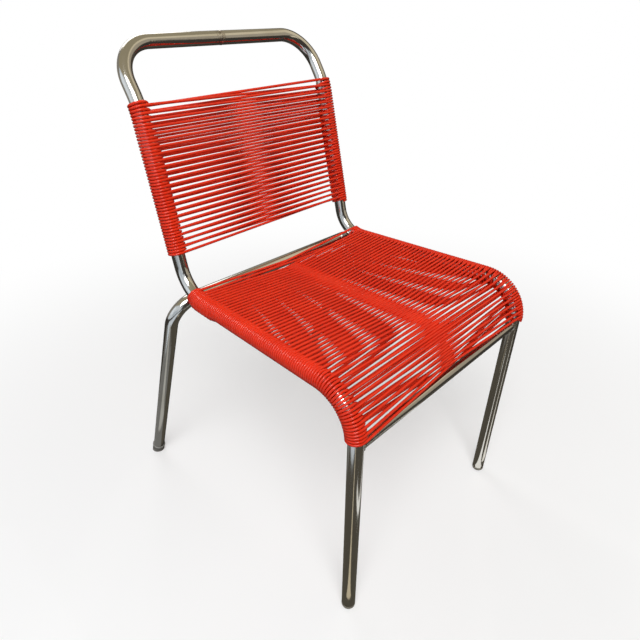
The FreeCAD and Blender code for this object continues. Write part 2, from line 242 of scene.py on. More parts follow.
class FrameLayout:
    """Where the tubes of the chair run."""

    RAIL_PIECE = 6

    def __init__(self, sizes: FrameSizes) -> None:
        """Lays out all centre lines.

        Args:
            sizes: The sizes of the frame.
        """
        self.sizes = sizes
        crossbar = middle_of("front_crossbar")
        self.crossbar_share = crossbar.z / sizes.rail_height
        self.front = crossbar.y - sizes.front_foot_setback * (1 - self.crossbar_share)
        self.sides = {side: self._side_line(side) for side in Side}
        self.bar = self._bar_axis()
        self.rear_feet = {side: Vector((side.value * sizes.rear_leg_width / 2,
                                        self.front + sizes.rail_run + sizes.rear_foot_setback, 0))
                          for side in Side}
        tops = {side: Vector((foot.x, self.bar.y, self.bar.z)) for side, foot in self.rear_feet.items()}
        self.rear_up = (tops[Side.LEFT] - self.rear_feet[Side.LEFT]).normalized()
        ends = {side: foot + self.rear_up * sizes.ferrule_base for side, foot in self.rear_feet.items()}
        self.rear = CentreLine([ends[Side.LEFT], tops[Side.LEFT], tops[Side.RIGHT], ends[Side.RIGHT]],
                               [sizes.rear_leg_bend] * 2)

    def front_foot(self, side: Side) -> Vector:
        """Point of a front leg's axis on the floor."""
        sizes = self.sizes
        return Vector((side.value * sizes.front_foot_width / 2, self.front + sizes.front_foot_setback, 0))

    def front_corner(self, side: Side) -> Vector:
        """Point where the axes of a front leg and a seat rail meet."""
        return Vector((side.value * self.sizes.front_width / 2, self.front, self.sizes.rail_height))

    def front_up(self, side: Side) -> Vector:
        """Direction of a front leg."""
        return (self.front_corner(side) - self.front_foot(side)).normalized()

    def crossbar_end(self, side: Side) -> Vector:
        """Point where the axes of the front crossbar and a front leg meet."""
        foot = self.front_foot(side)
        return foot + (self.front_corner(side) - foot) * self.crossbar_share

    def rail_start(self, side: Side) -> float:
        """Length along a side tube where its rear bend ends and the seat rail begins."""
        return self.sides[side].starts[self.RAIL_PIECE]

    def bar_run(self, side: Side) -> float:
        """Length along a side tube where the bar of the rear legs touches it."""
        return self.rail_start(side) - self.sizes.rear_bend * self.sizes.bar_contact

    def _bar_axis(self) -> Vector:
        """Point on the axis of the bar between the rear legs, the front and top of its solid."""
        low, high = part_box("rear_leg_frame")
        return Vector((0, low[1] + self.sizes.tube_radius, high[2] - self.sizes.tube_radius))

    def _side_line(self, side: Side) -> CentreLine:
        """Lays out a side tube, from the seam in the top rail to the front foot.

        Args:
            side: Which side tube.

        Returns:
            Its centre line.
        """
        sizes = self.sizes
        rear = Vector((side.value * sizes.back_width / 2, self.front + sizes.rail_run, sizes.rail_height))
        knee = rear + Vector((0, sizes.knee_setback, sizes.knee_rise))
        top = knee + Vector((0, sizes.loop_setback, sizes.loop_rise))
        seam = Vector((side.value * sizes.seam_width / 2, top.y, top.z))
        end = self.front_foot(side) + self.front_up(side) * sizes.glide_head
        return CentreLine([seam, top, knee, rear, self.front_corner(side), end],
                          [sizes.top_bend, sizes.knee_bend, sizes.rear_bend, sizes.front_bend])


class Value:
    """A shader value that is written in Python expressions."""

    def __init__(self, graph: "Graph", socket: bpy.types.NodeSocket) -> None:
        """Wraps an output socket of a graph's node."""
        self.graph = graph
        self.socket = socket

    def _math(self, operation: str, first: "Value | float", second: "Value | float") -> "Value":
        """Adds one Math node."""
        return self.graph.add("ShaderNodeMath", {"operation": operation}, {0: first, 1: second})

    def __add__(self, other: "Value | float") -> "Value":
        """Sum of two values."""
        return self._math("ADD", self, other)

    def __radd__(self, other: float) -> "Value":
        """Sum of a number and a value."""
        return self._math("ADD", other, self)

    def __sub__(self, other: "Value | float") -> "Value":
        """Difference of two values."""
        return self._math("SUBTRACT", self, other)

    def __rsub__(self, other: float) -> "Value":
        """Difference of a number and a value."""
        return self._math("SUBTRACT", other, self)

    def __mul__(self, other: "Value | float") -> "Value":
        """Product of two values."""
        return self._math("MULTIPLY", self, other)

    def __rmul__(self, other: float) -> "Value":
        """Product of a number and a value."""
        return self._math("MULTIPLY", other, self)


@dataclass(frozen=True)
class Grain:
    """Noise of a finish: waves per metre, octaves, where its patches begin and end, axis factors."""

    scale: float
    detail: float
    low: float = 0.0
    high: float = 1.0
    stretch: tuple = (1, 1, 1)


@dataclass(frozen=True)
class Relief:
    """Bump of a finish, its height in metres at full strength."""

    strength: float
    distance: float


class Graph:
    """Node tree of a material or a world."""

    def __init__(self, tree: bpy.types.NodeTree) -> None:
        """Empties the tree."""
        self.tree = tree
        tree.nodes.clear()

    def add(self, kind: str, settings: dict | None = None, sockets: dict | None = None,
            out: int | str = 0) -> Value | None:
        """Adds a node.

        Args:
            kind: The node's type.
            settings: Its properties, set first; stops are a ramp's positions and colours.
            sockets: Values or links of its inputs, by name or number.
            out: The output to return.

        Returns:
            The wrapped output, if the node has one.
        """
        node = self.tree.nodes.new(kind)
        for key, value in (settings or {}).items():
            if key == "stops":
                self._stops(node.color_ramp, value)
            else:
                setattr(node, key, value)
        for key, value in (sockets or {}).items():
            if isinstance(value, Value):
                self.tree.links.new(value.socket, node.inputs[key])
            else:
                node.inputs[key].default_value = value
        return Value(self, node.outputs[out]) if node.outputs else None

    @staticmethod
    def _stops(ramp: bpy.types.ColorRamp, stops: list[tuple[float, float]]) -> None:
        """Sets a ramp's grey stops.

        Args:
            ramp: The ramp.
            stops: Position and grey of each stop.
        """
        while len(ramp.elements) < len(stops):
            ramp.elements.new(1.0)
        for element, (position, grey) in zip(ramp.elements, stops):
            element.position = position
            element.color = (grey, grey, grey, 1)

    def place(self) -> Value:
        """Object coordinates."""
        return self.add("ShaderNodeTexCoord", out="Object")

    def axis(self, letter: str) -> Value:
        """One of the object coordinates."""
        return self.add("ShaderNodeSeparateXYZ", sockets={0: self.place()}, out=letter)

    def noise(self, grain: Grain) -> Value:
        """Noise from 0 to 1 on object coordinates."""
        spot = self.add("ShaderNodeMapping", sockets={"Vector": self.place(), "Scale": grain.stretch})
        return self.add("ShaderNodeTexNoise",
                        sockets={"Vector": spot, "Scale": grain.scale, "Detail": grain.detail})

    def patches(self, grain: Grain) -> Value:
        """Noise that is cut to soft patches."""
        return self.ramp(self.noise(grain), [(grain.low, 0), (grain.high, 1)])

    def ramp(self, value: Value, stops: list[tuple[float, float]]) -> Value:
        """Passes a value through grey stops."""
        return self.add("ShaderNodeValToRGB", {"stops": stops}, {0: value})

    def mix(self, factor: Value, first: tuple | Value, second: tuple | Value) -> Value:
        """Mixes two colours.

        Args:
            factor: Share of the second colour.
            first: A colour or a link.
            second: A colour or a link.

        Returns:
            The mixed colour.
        """
        return self.add("ShaderNodeMix", {"data_type": "RGBA"}, {0: factor, 6: first, 7: second}, out=2)

    def bump(self, height: Value, relief: Relief) -> Value:
        """Bumps the surface by a height."""
        return self.add("ShaderNodeBump", sockets={"Height": height, "Strength": relief.strength,
                                                   "Distance": relief.distance})

    def surface(self, sockets: dict) -> None:
        """Ends a material in a Principled surface with these inputs."""
        shader = self.add("ShaderNodeBsdfPrincipled", sockets=sockets)
        self.add("ShaderNodeOutputMaterial", sockets={"Surface": shader})


def new_material(name: str) -> tuple[bpy.types.Material, Graph]:
    """Makes an empty node material.

    Args:
        name: The material's name.

    Returns:
        The material and its graph.
    """
    material = bpy.data.materials.new(name)
    material.use_nodes = True
    return material, Graph(material.node_tree)


@dataclass(frozen=True)
class ChromeFinish:
    """Worn chrome plate on drawn steel tube."""

    name: str = "worn_chrome"
    plate: tuple = (0.60, 0.585, 0.56, 1)
    dulled: tuple = (0.50, 0.475, 0.43, 1)
    pit: tuple = (0.16, 0.11, 0.07, 1)
    clouds: Grain = Grain(14, 4, 0.35, 0.75)
    rubbing: Grain = Grain(1400, 2, stretch=(1, 1, 0.12))
    pitting: Grain = Grain(420, 2, 0.70, 0.78)
    grinding: Grain = Grain(330, 4, 0.46, 0.60)
    dulled_share: float = 0.8
    ground_share: float = 0.7
    polish: float = 0.07
    haze: float = 0.10
    rubbed_haze: float = 0.04
    pitted_haze: float = 0.3
    ground_haze: float = 0.2
    ground_depth: float = 3
    relief: Relief = Relief(0.05, 0.0002)
    seam_middle: float = -0.004
    seam_above: float = 0.7
    ground_to: float = 0.0055
    plain_from: float = 0.0095

    def material(self) -> bpy.types.Material:
        """Makes plate with cloudy haze, rubbing marks, a few pits and a ground zone at the top seam.

        Returns:
            The material.
        """
        material, graph = new_material(self.name)
        clouds = graph.patches(self.clouds)
        rubbed = graph.noise(self.rubbing)
        pits = graph.patches(self.pitting) * clouds
        ground = self._ground(graph)
        colour = graph.mix(clouds * self.dulled_share, self.plate, self.dulled)
        worn = rubbed * self.rubbed_haze + pits * self.pitted_haze + ground * self.ground_haze
        graph.surface({
            "Base Color": graph.mix(pits + ground * self.ground_share, colour, self.pit),
            "Metallic": 1.0,
            "Roughness": self.polish + clouds * self.haze + worn,
            "Normal": graph.bump(rubbed + ground * self.ground_depth, self.relief),
        })
        return material

    def _ground(self, graph: Graph) -> Value:
        """Finds the mottled plate that was ground beside the seam of the top rail.

        Args:
            graph: The material's graph.

        Returns:
            Share of ground plate.
        """
        away = graph.add("ShaderNodeMath", {"operation": "ABSOLUTE"},
                         {0: graph.axis("X") - self.seam_middle})
        near = graph.ramp(away * RAMP_PER_METRE, [(self.ground_to * RAMP_PER_METRE, 1),
                                                  (self.plain_from * RAMP_PER_METRE, 0)])
        top = graph.add("ShaderNodeMath", {"operation": "GREATER_THAN"},
                        {0: graph.axis("Z"), 1: self.seam_above})
        return graph.patches(self.grinding) * near * top


@dataclass(frozen=True)
class WeldFinish:
    """Plated weld metal, ground by hand and mottled."""

    name: str = "ground_weld"
    bright: tuple = (0.66, 0.62, 0.56, 1)
    scorched: tuple = (0.27, 0.22, 0.17, 1)
    mottling: Grain = Grain(380, 4, 0.40, 0.62)
    ripples: Grain = Grain(800, 3)
    polish: float = 0.2
    scorched_haze: float = 0.25
    relief: Relief = Relief(0.5, 0.0006)

    def material(self) -> bpy.types.Material:
        """Makes mottled metal with grinding marks.

        Returns:
            The material.
        """
        material, graph = new_material(self.name)
        mottle = graph.patches(self.mottling)
        graph.surface({
            "Base Color": graph.mix(mottle, self.bright, self.scorched),
            "Metallic": 1.0,
            "Roughness": self.polish + mottle * self.scorched_haze,
            "Normal": graph.bump(graph.noise(self.ripples), self.relief),
        })
        return material


@dataclass(frozen=True)
class FootFinish:
    """Moulded plastic of a foot, scuffed by the floor."""

    name: str
    clean: tuple
    scuffed: tuple
    roughness: float
    scuffs: Grain = Grain(900, 4, 0.42, 0.68, (1, 1, 0.25))
    scuffed_haze: float = 0.3
    scuffed_to: float = 0.010
    least_scuff: float = 0.15
    relief: Relief = Relief(0.25, 0.0003)

    def material(self) -> bpy.types.Material:
        """Makes plastic with scuffs that grow towards the floor.

        Returns:
            The material.
        """
        material, graph = new_material(self.name)
        low = graph.ramp(graph.axis("Z") * RAMP_PER_METRE,
                         [(0, 1), (self.scuffed_to * RAMP_PER_METRE, self.least_scuff)])
        scratches = graph.patches(self.scuffs)
        worn = scratches * low
        graph.surface({
            "Base Color": graph.mix(worn, self.clean, self.scuffed),
            "Roughness": self.roughness + worn * self.scuffed_haze,
            "Normal": graph.bump(scratches, self.relief),
        })
        return material


PLUG = FootFinish("plug_plastic", (0.17, 0.155, 0.125, 1), (0.62, 0.58, 0.47, 1), 0.30)
SLEEVE = FootFinish("sleeve_plastic", (0.20, 0.198, 0.185, 1), (0.42, 0.40, 0.36, 1), 0.50)


@dataclass(frozen=True)
class CordFinish:
    """Extruded red plastic cord with a soft gloss."""

    name: str = "red_cord"
    bright: tuple = (0.80, 0.036, 0.009, 1)
    deep: tuple = (0.66, 0.022, 0.006, 1)
    grime: tuple = (0.36, 0.014, 0.008, 1)
    drifting: Grain = Grain(26, 3, 0.30, 0.72)
    dulling: Grain = Grain(240, 3)
    soiling: Grain = Grain(700, 4, 0.66, 0.80)
    deep_share: float = 0.7
    grime_share: float = 0.55
    gloss: float = 0.19
    dull_haze: float = 0.12
    grime_haze: float = 0.2
    specular: float = 0.25
    coat: float = 0.08
    relief: Relief = Relief(0.10, 0.0002)

    def material(self) -> bpy.types.Material:
        """Makes plastic whose colour drifts along the winding, with dull patches and a little grime.

        Returns:
            The material.
        """
        material, graph = new_material(self.name)
        dull = graph.noise(self.dulling)
        grime = graph.patches(self.soiling) * self.grime_share
        colour = graph.mix(graph.patches(self.drifting) * self.deep_share, self.bright, self.deep)
        graph.surface({
            "Base Color": graph.mix(grime, colour, self.grime),
            "Roughness": self.gloss + dull * self.dull_haze + grime * self.grime_haze,
            "Specular IOR Level": self.specular,
            "Coat Weight": self.coat,
            "Normal": graph.bump(dull, self.relief),
        })
        return material


class Piece:
    """Turns a finished mesh into a piece that rides on the chair."""

    SHARP = math.radians(50)
    MERGE = 1e-7

    @staticmethod
    def add(name: str, mesh: bpy.types.Mesh, material: bpy.types.Material, slot: str,
            nodes: tuple[str, ...]) -> bpy.types.Object:
        """Adds a mesh as a piece.

        Args:
            name: The piece's name.
            mesh: Its mesh, in place.
            material: Its finish.
            slot: Not used.
            nodes: The solids that it stands for.

        Returns:
            The new object.
        """
        mesh.name = name
        mesh.materials.clear()
        mesh.materials.append(material)
        mesh.shade_smooth()
        mesh.set_sharp_from_angle(angle=Piece.SHARP)
        piece = bpy.data.objects.new(name, mesh)
        bpy.context.scene.collection.objects.link(piece)
        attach(piece, BODY)
        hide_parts(*nodes)
        LOG.info("%s: %d faces", name, len(mesh.polygons))
        return piece

    @staticmethod
    def mesh(shape: bmesh.types.BMesh) -> bpy.types.Mesh:
        """Closes a bmesh into a mesh with its faces turned outwards.

        Args:
            shape: The bmesh, which is freed.

        Returns:
            The mesh.
        """
        bmesh.ops.remove_doubles(shape, verts=shape.verts, dist=Piece.MERGE)
        bmesh.ops.recalc_face_normals(shape, faces=shape.faces)
        mesh = bpy.data.meshes.new("shape")
        shape.to_mesh(mesh)
        shape.free()
        return mesh


def stand(point: Vector, along: Vector) -> Matrix:
    """Matrix that puts the origin at a point and the Z axis along a direction."""
    return Matrix.Translation(point) @ along.to_track_quat("Z", "Y").to_matrix().to_4x4()


def lathe(profile: list[tuple[float, float]], steps: int) -> bmesh.types.BMesh:
    """Spins a profile round the Z axis.

    Args:
        profile: Points as radius and height.
        steps: Faces round the axis.

    Returns:
        The spun shape.
    """
    shape = bmesh.new()
    corners = [shape.verts.new((radius, 0, height)) for radius, height in profile]
    edges = [shape.edges.new(pair) for pair in zip(corners, corners[1:])]
    bmesh.ops.spin(shape, geom=corners + edges, cent=(0, 0, 0), axis=(0, 0, 1), angle=math.tau,
                   steps=steps, use_merge=True)
    return shape


def nurbs_tube(points: list[Vector], radius: float, resolution: int, sides: int,
               closed: bool = False, swells: list[float] | None = None) -> bpy.types.Mesh:
    """Round tube along a NURBS line.

    Args:
        points: Control points of the line.
        radius: Radius of the tube.
        resolution: Rings between neighbouring points.
        sides: The curve's bevel resolution.
        closed: Whether the line is a ring.
        swells: Factors of the radius at the points.

    Returns:
        The tube's mesh, closed at its ends.
    """
    curve = bpy.data.curves.new("line", "CURVE")
    curve.dimensions = "3D"
    spline = curve.splines.new("NURBS")
    spline.points.add(len(points) - 1)
    for number, (target, point) in enumerate(zip(spline.points, points)):
        target.co = (*point, 1)
        target.radius = swells[number] if swells else 1
    spline.order_u = NURBS_ORDER
    spline.use_cyclic_u = closed
    spline.use_endpoint_u = not closed
    spline.resolution_u = resolution
    curve.bevel_depth = radius
    curve.bevel_resolution = sides
    curve.use_fill_caps = not closed
    drawn = bpy.data.objects.new("line", curve)
    mesh = bpy.data.meshes.new_from_object(drawn)
    bpy.data.objects.remove(drawn)
    bpy.data.curves.remove(curve)
    shape = bmesh.new()
    shape.from_mesh(mesh)
    bpy.data.meshes.remove(mesh)
    return Piece.mesh(shape)


class BentTube:
    """A hollow tube that is drawn along a centre line."""

    SEGMENTS = 64
    STEP = math.radians(3)
    LEAST_STEPS = 2

    def __init__(self, line: CentreLine, radius: float, wall: float) -> None:
        """Takes the line and the tube's outer radius and wall."""
        self.line = line
        self.radii = (radius, radius - wall)

    def mesh(self) -> bpy.types.Mesh:
        """Draws the outer and the inner wall and joins them at both ends.

        Returns:
            The tube's mesh.
        """
        shape = bmesh.new()
        walls = [self._wall(shape, radius) for radius in self.radii]
        for outer, inner in zip(*walls):
            bmesh.ops.bridge_loops(shape, edges=outer + inner)
        return Piece.mesh(shape)

    def _wall(self, shape: bmesh.types.BMesh, radius: float) -> tuple[list, list]:
        """Draws one wall.

        Args:
            shape: The bmesh that takes it.
            radius: Radius of the wall.

        Returns:
            The edges of its first and its last ring.
        """
        start = stand(self.line.point(0), self.line.tangent(0))
        ring = bmesh.ops.create_circle(shape, segments=self.SEGMENTS, radius=radius, matrix=start)
        edges = list({edge for vert in ring["verts"] for edge in vert.link_edges})
        first = list(edges)
        for piece in self.line.pieces:
            if isinstance(piece, Bend):
                steps = max(self.LEAST_STEPS, math.ceil(piece.turn / self.STEP))
                axis = piece.arm.cross(piece.along)
                made = bmesh.ops.spin(shape, geom=edges, cent=piece.centre, axis=axis, angle=piece.turn,
                                      steps=steps)["geom_last"]
            else:
                made = bmesh.ops.extrude_edge_only(shape, edges=edges)["geom"]
                verts = [part for part in made if isinstance(part, bmesh.types.BMVert)]
                bmesh.ops.translate(shape, verts=verts, vec=piece.along * piece.length)
            edges = self._ring_edges(made)
        return first, edges

    @staticmethod
    def _ring_edges(made: list) -> list:
        """The edges of the newest ring."""
        verts = {part for part in made if isinstance(part, bmesh.types.BMVert)}
        return [part for part in made
                if isinstance(part, bmesh.types.BMEdge) and all(vert in verts for vert in part.verts)]


@dataclass
class TubeFrame:
    """The chromed tubes: two side tubes, the rear leg frame and the front crossbar."""

    layout: FrameLayout
    chrome: bpy.types.Material
    slot: str = "chrome_tube"

    def build(self) -> None:
        """Builds every tube."""
        sizes = self.layout.sizes
        lines = {f"{side.word}_side_tube": line for side, line in self.layout.sides.items()}
        lines["rear_leg_frame"] = self.layout.rear
        for name, line in lines.items():
            self._add(name, BentTube(line, sizes.tube_radius, sizes.tube_wall).mesh())
        self._add("front_crossbar", self._crossbar())

    def _crossbar(self) -> bpy.types.Mesh:
        """Draws the tube between the front legs, its ends coped to their round.

        Returns:
            The tube's mesh.
        """
        sizes = self.layout.sizes
        ends = [self.layout.crossbar_end(side) for side in Side]
        mesh = BentTube(CentreLine(ends, []), sizes.crossbar_radius, sizes.tube_wall).mesh()
        for corner in mesh.vertices:
            reach = math.sqrt(sizes.tube_radius ** 2 - (corner.co.y - ends[0].y) ** 2)
            corner.co.x -= math.copysign(reach, corner.co.x)
        return mesh

    def _add(self, name: str, mesh: bpy.types.Mesh) -> None:
        """Adds one tube in place of the solid of the same name."""
        Piece.add(f"{name}_chrome", mesh, self.chrome, self.slot, (name,))


def ring_angles(count: int) -> list[float]:
    """Even angles round a ring."""
    return [math.tau * number / count for number in range(count)]


@dataclass
class Welds:
    """Weld seams of the frame."""

    layout: FrameLayout
    finish: bpy.types.Material
    slot: str = "weld_metal"
    crown: float = 0.0003
    crown_before: float = 0.8
    crown_after: float = 0.7
    crossbar_bead: float = 0.00182
    crossbar_points: int = 24
    bar_bead: float = 0.00208
    bar_ring: float = 0.0050
    bar_points: int = 16
    thinnest: float = 0.82
    thickest: float = 1.18
    seed: int = 11

    RINGS = 3
    BEVEL = 2

    def build(self) -> None:
        """Builds the seam in the top rail and the beads where tubes meet."""
        self.random = random.Random(self.seed)
        self._top_seam()
        for side in Side:
            self._crossbar_bead(side)
            self._bar_bead(side)

    def _top_seam(self) -> None:
        """Ground ring round the middle of the top rail."""
        sizes = self.layout.sizes
        half = sizes.seam_width / 2
        outer = sizes.tube_radius
        inner = outer - sizes.tube_wall
        profile = [(inner, -half), (outer, -half), (outer + self.crown * self.crown_before, -half / 2),
                   (outer + self.crown, 0), (outer + self.crown * self.crown_after, half / 2),
                   (outer, half), (inner, half), (inner, -half)]
        shape = lathe(profile, BentTube.SEGMENTS)
        middle = self.layout.sides[Side.LEFT].point(0)
        middle.x = 0
        shape.transform(stand(middle, ACROSS))
        Piece.add("top_rail_seam", Piece.mesh(shape), self.finish, self.slot, ("top_rail_weld",))

    def _crossbar_bead(self, side: Side) -> None:
        """Lays the bead along the saddle where the crossbar meets a front leg.

        Args:
            side: Which front leg.
        """
        sizes = self.layout.sizes
        end = self.layout.crossbar_end(side)
        points = []
        for angle in ring_angles(self.crossbar_points):
            forward = sizes.crossbar_radius * math.cos(angle)
            upward = sizes.crossbar_radius * math.sin(angle)
            inward = math.sqrt(sizes.tube_radius ** 2 - forward ** 2)
            points.append(end + Vector((-side.value * inward, forward, upward)))
        self._bead(f"front_crossbar_{side.word}", points, self.crossbar_bead)

    def _bar_bead(self, side: Side) -> None:
        """Lays the bead round the spot where the bar of the rear legs touches a side tube.

        Args:
            side: Which side tube.
        """
        line = self.layout.sides[side]
        run = self.layout.bar_run(side)
        along = line.tangent(run) * self.bar_ring
        across = along.cross(line.sitter_side(run))
        spot = middle_of(f"{side.word}_rear_weld")
        points = [spot + along * math.cos(angle) + across * math.sin(angle)
                  for angle in ring_angles(self.bar_points)]
        self._bead(f"{side.word}_rear", points, self.bar_bead)

    def _bead(self, name: str, points: list[Vector], radius: float) -> None:
        """Adds an uneven bead.

        Args:
            name: Name of the bead and of the weld that it stands for.
            points: Ring along which it runs.
            radius: Its mean radius.
        """
        swells = [self.random.uniform(self.thinnest, self.thickest) for _ in points]
        mesh = nurbs_tube(points, radius, self.RINGS, self.BEVEL, closed=True, swells=swells)
        Piece.add(f"{name}_bead", mesh, self.finish, self.slot, (f"{name}_weld",))


@dataclass
class Feet:
    """Plugs in the front legs and sleeves on the rear legs, whose rim goes out and down by pairs."""

    layout: FrameLayout
    plug: bpy.types.Material
    sleeve: bpy.types.Material
    round: float = 0.0040
    round_steps: int = 8
    stem: float = 0.018
    stem_gap: float = 0.0001
    shoulder_drop: float = 0.0008
    shoulder_inset: float = 0.0006
    plug_sink: float = 0.002
    sleeve_gap: float = 0.00005
    sleeve_sink: float = 0.02
    rim: tuple = ((0, 0.0042), (0.0002, 0.0034), (0.0006, 0.0026), (0.0007, 0.0016), (0.0004, 0.0006),
                  (-0.0003, 0))
    segments: int = 48

    def build(self) -> None:
        """Builds the four feet."""
        for side in Side:
            self._glide(side)
            self._ferrule(side)

    def _glide(self, side: Side) -> None:
        """Builds the round-edged plug in a front leg.

        Args:
            side: Which front leg.
        """
        sizes = self.layout.sizes
        outer = sizes.tube_radius
        bore = outer - sizes.tube_wall - self.stem_gap
        head = sizes.glide_head
        flat = outer - self.round
        profile = [(0, -self.plug_sink), (flat, -self.plug_sink), (flat, 0)]
        for number in range(1, self.round_steps + 1):
            angle = math.pi / 2 * number / self.round_steps
            profile.append((flat + self.round * math.sin(angle), self.round * (1 - math.cos(angle))))
        seat = head - self.stem_gap
        profile += [(outer, head - self.shoulder_drop), (outer - self.shoulder_inset, seat), (bore, seat),
                    (bore, head + self.stem), (0, head + self.stem)]
        shape = lathe(profile, self.segments)
        shape.transform(stand(self.layout.front_foot(side), self.layout.front_up(side)))
        self._level(shape)
        Piece.add(f"front_{side.word}_plug", Piece.mesh(shape), self.plug, "glide_plastic",
                  (f"front_{side.word}_glide",))

    def _ferrule(self, side: Side) -> None:
        """Builds the sleeve with a rolled rim on a rear leg.

        Args:
            side: Which rear leg.
        """
        sizes = self.layout.sizes
        inner = sizes.tube_radius + self.sleeve_gap
        outer = inner + sizes.ferrule_wall
        top = sizes.ferrule_height
        profile = [(0, -self.sleeve_sink), (outer, -self.sleeve_sink)]
        profile += [(outer + out, top - down) for out, down in self.rim]
        profile += [(inner, top), (inner, sizes.ferrule_base), (0, sizes.ferrule_base)]
        shape = lathe(profile, self.segments)
        shape.transform(stand(self.layout.rear_feet[side], self.layout.rear_up))
        self._level(shape)
        Piece.add(f"rear_{side.word}_sleeve", Piece.mesh(shape), self.sleeve, "ferrule_plastic",
                  (f"rear_{side.word}_ferrule",))

    @staticmethod
    def _level(shape: bmesh.types.BMesh) -> None:
        """Cuts a foot flat on the floor.

        Args:
            shape: The foot, in place.
        """
        parts = shape.verts[:] + shape.edges[:] + shape.faces[:]
        cut = bmesh.ops.bisect_plane(shape, geom=parts, plane_co=(0, 0, 0), plane_no=(0, 0, -1),
                                     clear_outer=True)
        edges = [part for part in cut["geom_cut"] if isinstance(part, bmesh.types.BMEdge)]
        bmesh.ops.edgeloop_fill(shape, edges=edges)


class Visit(NamedTuple):
    """One visit of a cord to a tube."""

    side: Side
    arrive: float
    turns: int
    pitch: float

    @property
    def leave(self) -> float:
        """Length along the tube where the cord leaves."""
        return self.arrive + self.turns * self.pitch


class Opening(NamedTuple):
    """One of the first visits of a cord, with its lengths counted in pitches."""

    side: Side
    arrive: float
    turns: int
    step: int = 1


